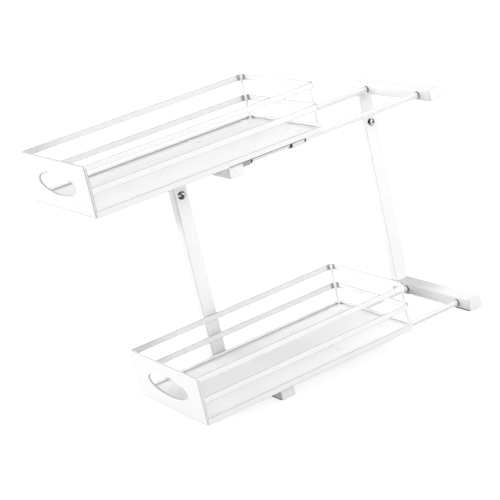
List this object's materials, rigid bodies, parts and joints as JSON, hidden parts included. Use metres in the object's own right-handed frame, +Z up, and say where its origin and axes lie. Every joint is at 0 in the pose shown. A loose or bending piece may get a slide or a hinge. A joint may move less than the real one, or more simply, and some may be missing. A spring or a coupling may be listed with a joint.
{
  "type": "under sink organizer",
  "caption": "Two-tier under sink organizer: an open one-sided tube frame whose sheet-metal baskets slide out on round rails.",
  "frame": {"origin": "on the floor, under the middle of the box that the organizer fills with the upper basket fully out and the lower one part of the way out", "axes": "+Z up; the baskets pull out towards -Y and push in towards +Y; +X to the right seen from the front, with the posts on the -X side"},
  "size_m": [0.231, 0.642, 0.464],
  "materials": {
    "frame_steel": "satin white powder coat",
    "rail_steel": "smooth glossy white coat",
    "basket_steel": "satin white powder coat",
    "cap_plastic": "moulded white plastic",
    "bushing_plastic": "moulded black plastic",
    "stop_rubber": "soft black rubber",
    "fastener_steel": "zinc-plated steel"
  },
  "bodies": {
    "frame": {"front_post": "frame_steel", "front_spigot": "frame_steel", "lower_front_crossbar": "frame_steel", "lower_front_left_cap": "cap_plastic", "lower_front_right_cap": "cap_plastic", "lower_left_rail": "rail_steel", "lower_rear_crossbar": "frame_steel", "lower_rear_left_cap": "cap_plastic", "lower_rear_right_cap": "cap_plastic", "lower_right_rail": "rail_steel", "post_bolts": "fastener_steel", "post_nuts": "fastener_steel", "post_washers": "fastener_steel", "rail_bumpers": "stop_rubber", "rail_screws": "fastener_steel", "rear_post": "frame_steel", "rear_spigot": "frame_steel", "rubber_feet": "stop_rubber", "upper_front_crossbar": "frame_steel", "upper_front_left_cap": "cap_plastic", "upper_front_right_cap": "cap_plastic", "upper_left_rail": "rail_steel", "upper_rear_crossbar": "frame_steel", "upper_rear_left_cap": "cap_plastic", "upper_rear_right_cap": "cap_plastic", "upper_right_rail": "rail_steel"},
    "upper_basket": {"upper_front_panel": "basket_steel", "upper_left_front_bushing": "bushing_plastic", "upper_left_front_strap": "basket_steel", "upper_left_rear_bushing": "bushing_plastic", "upper_left_rear_strap": "basket_steel", "upper_left_upright": "basket_steel", "upper_middle_strip": "basket_steel", "upper_right_front_bushing": "bushing_plastic", "upper_right_front_strap": "basket_steel", "upper_right_rear_bushing": "bushing_plastic", "upper_right_rear_strap": "basket_steel", "upper_right_upright": "basket_steel", "upper_rim": "basket_steel", "upper_rivets": "basket_steel", "upper_top_strip": "basket_steel", "upper_tray": "basket_steel"},
    "lower_basket": {"lower_front_panel": "basket_steel", "lower_left_front_bushing": "bushing_plastic", "lower_left_front_strap": "basket_steel", "lower_left_rear_bushing": "bushing_plastic", "lower_left_rear_strap": "basket_steel", "lower_left_upright": "basket_steel", "lower_middle_strip": "basket_steel", "lower_right_front_bushing": "bushing_plastic", "lower_right_front_strap": "basket_steel", "lower_right_rear_bushing": "bushing_plastic", "lower_right_rear_strap": "basket_steel", "lower_right_upright": "basket_steel", "lower_rim": "basket_steel", "lower_rivets": "basket_steel", "lower_top_strip": "basket_steel", "lower_tray": "basket_steel"}
  },
  "joints": [
    {"name": "upper_basket_slide", "type": "slide", "parent": "frame", "child": "upper_basket", "axis": [0, 1, 0], "range_m": [0, 0.2226]},
    {"name": "lower_basket_slide", "type": "slide", "parent": "frame", "child": "lower_basket", "axis": [0, 1, 0], "range_m": [-0.08928, 0.13332]}
  ]
}
